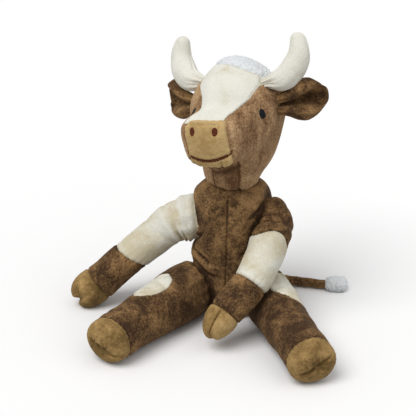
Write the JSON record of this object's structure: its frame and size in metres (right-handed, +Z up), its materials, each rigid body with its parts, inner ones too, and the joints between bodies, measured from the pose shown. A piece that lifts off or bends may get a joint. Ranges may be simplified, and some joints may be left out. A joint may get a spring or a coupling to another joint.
{
  "type": "plush cow",
  "caption": "Soft stuffed cow sitting on its seat with legs stretched out, curved horns, floppy ears, jointed cloth limbs and a tufted tail.",
  "frame": {"origin": "middle of the flat underside of the torso, where the cow sits", "axes": "+Z up, -Y the way the torso faces, +X to the cow's own left"},
  "size_m": [0.2983, 0.2292, 0.3045],
  "materials": {
    "brown_plush": "mottled velour",
    "brown_velour": "smooth velour",
    "cream_plush": "mottled velour",
    "tan_plush": "velour",
    "white_fleece": "curly fleece",
    "polyester_filling": "loose fibre",
    "brown_thread": "embroidery",
    "rust_thread": "embroidery",
    "navy_thread": "embroidery"
  },
  "bodies": {
    "torso": {"torso_left": "brown_plush", "torso_right": "brown_plush", "seat_panel": "brown_plush", "torso_stuffing": "polyester_filling", "hip_left": "brown_plush", "hip_right": "brown_plush", "shoulder_left": "brown_plush", "shoulder_right": "cream_plush", "leg_left_patch": "cream_plush"},
    "neck": {"neck": "brown_velour"},
    "head": {"head_left": "brown_velour", "head_right": "brown_velour", "throat": "brown_velour", "blaze": "cream_plush", "crown_fleece": "white_fleece", "muzzle": "tan_plush", "head_stuffing": "polyester_filling", "eye_left": "navy_thread", "eye_right": "navy_thread", "nostril_left": "rust_thread", "nostril_right": "rust_thread", "mouth": "brown_thread", "horn_left": "cream_plush", "horn_left_stuffing": "polyester_filling", "horn_right": "cream_plush", "horn_right_stuffing": "polyester_filling"},
    "ear_left": {"ear_left_back": "brown_plush", "ear_left_lining": "brown_plush"},
    "ear_right": {"ear_right_back": "brown_plush", "ear_right_lining": "brown_plush"},
    "arm_left": {"arm_left_upper": "cream_plush", "arm_left_lower": "brown_plush", "arm_left_hoof": "tan_plush", "arm_left_stuffing": "polyester_filling"},
    "arm_right": {"arm_right_upper": "cream_plush", "arm_right_lower": "brown_plush", "arm_right_hoof": "tan_plush", "arm_right_stuffing": "polyester_filling"},
    "leg_left": {"leg_left": "brown_plush", "leg_left_hoof": "tan_plush", "leg_left_stuffing": "polyester_filling"},
    "leg_right": {"leg_right": "brown_plush", "leg_right_hoof": "tan_plush", "leg_right_stuffing": "polyester_filling", "leg_right_patch": "cream_plush"},
    "tail": {"tail": "brown_plush", "tail_tuft": "white_fleece"}
  },
  "joints": [
    {"name": "head_turn", "type": "hinge", "parent": "torso", "child": "neck", "pos_m": [0, 0, 0.151], "axis": [0, 0, 1], "range_deg": [-25, 50]},
    {"name": "head_nod", "type": "hinge", "parent": "neck", "child": "head", "pos_m": [0, 0, 0.1597], "axis": [-0.9563, 0.2924, 0], "range_deg": [-20, 15], "deforming": ["neck"]},
    {"name": "ear_left_flop", "type": "hinge", "parent": "head", "child": "ear_left", "pos_m": [0.05457, -0.0165, 0.23446], "axis": [0.0483, -0.9974, 0.0535], "range_deg": [-25, 0]},
    {"name": "ear_right_flop", "type": "hinge", "parent": "head", "child": "ear_right", "pos_m": [-0.048, 0.01486, 0.21747], "axis": [0.5978, 0.7999, 0.0535], "range_deg": [-25, 0]},
    {"name": "arm_left_swing", "type": "hinge", "parent": "torso", "child": "arm_left", "pos_m": [0.047, -0.017, 0.107], "axis": [-1, 0, 0], "range_deg": [0, 60], "deforming": ["shoulder_left"]},
    {"name": "arm_right_lift", "type": "hinge", "parent": "torso", "child": "arm_right", "pos_m": [-0.056, -0.006, 0.094], "axis": [0, 1, 0], "range_deg": [0, 75], "deforming": ["shoulder_right"]},
    {"name": "hip_left", "type": "hinge", "parent": "torso", "child": "leg_left", "pos_m": [0.04748, -0.03772, 0.02649], "axis": [-1, 0, 0], "range_deg": [-90, 0], "deforming": ["hip_left", "leg_left_patch"]},
    {"name": "hip_right", "type": "hinge", "parent": "torso", "child": "leg_right", "pos_m": [-0.04482, -0.03905, 0.02649], "axis": [-1, 0, 0], "range_deg": [-90, 0], "deforming": ["hip_right"]},
    {"name": "tail_wag", "type": "hinge", "parent": "torso", "child": "tail", "pos_m": [0.004, 0.042, 0.0055], "axis": [0, 0, 1], "range_deg": [-10, 95]}
  ]
}
